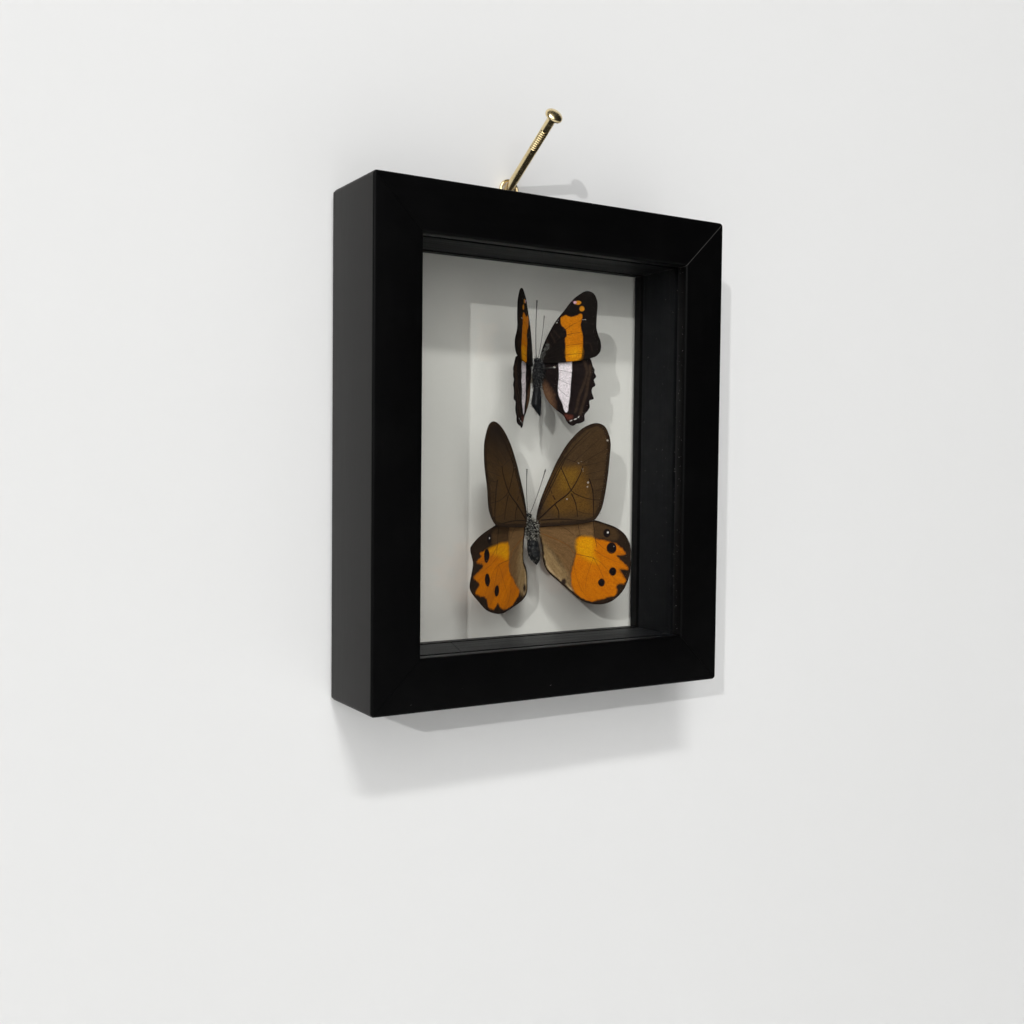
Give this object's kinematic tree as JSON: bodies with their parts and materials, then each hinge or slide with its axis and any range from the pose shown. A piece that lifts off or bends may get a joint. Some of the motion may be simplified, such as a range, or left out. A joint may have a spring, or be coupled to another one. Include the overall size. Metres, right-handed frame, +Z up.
{
  "type": "framed butterfly specimen",
  "caption": "See-through glazed black frame with spread butterflies held between its panes, hanging by a brass ring from a slanted nail.",
  "frame": {"origin": "where the hanging nail enters the wall, 2.3 mm to the left of the middle of the frame", "axes": "+Z up, -Y out of the wall towards the viewer, +X to the viewer's right; the plane Y = 0 is the wall"},
  "size_m": [0.125, 0.0387, 0.1772],
  "materials": {
    "black_wood": "satin black stain over close-grained wood, softened edges",
    "liner": "charcoal painted strip, matte",
    "glass": "clear float glass with a little dust",
    "brass": "bright plated brass",
    "pin_steel": "fine steel with a pale head",
    "cuticle": "slate black scales with pale hair on the thorax",
    "antenna": "fine black segments with pale rings",
    "upper_forewing": "dark brown scales with an orange band",
    "upper_hindwing": "dark brown scales with a white band",
    "lower_forewing": "brown scales with an ochre field and dark veins",
    "lower_hindwing": "orange scales with black eyespots and a brown margin",
    "glue": "clear yellowish glue"
  },
  "bodies": {
    "root": {"bead_bottom": "black_wood", "bead_left": "black_wood", "bead_right": "black_wood", "bead_top": "black_wood", "front_glass": "glass", "hanger_plate": "brass", "hanger_ring": "brass", "hanger_screw_left": "brass", "hanger_screw_right": "brass", "liner_bottom_long": "liner", "liner_bottom_short": "liner", "liner_left": "liner", "liner_right": "liner", "liner_top": "liner", "lower_antenna_left": "antenna", "lower_antenna_right": "antenna", "lower_body": "cuticle", "lower_forewing_left": "lower_forewing", "lower_forewing_right": "lower_forewing", "lower_glue_pad": "glue", "lower_hindwing_left": "lower_hindwing", "lower_hindwing_right": "lower_hindwing", "nail": "brass", "rail_bottom": "black_wood", "rail_left": "black_wood", "rail_right": "black_wood", "rail_top": "black_wood", "rear_glass": "glass", "upper_antenna_left": "antenna", "upper_antenna_right": "antenna", "upper_body": "cuticle", "upper_forewing_left": "upper_forewing", "upper_forewing_right": "upper_forewing", "upper_glue_pad": "glue", "upper_hindwing_left": "upper_hindwing", "upper_hindwing_right": "upper_hindwing", "upper_pin": "pin_steel"}
  },
  "joints": []
}
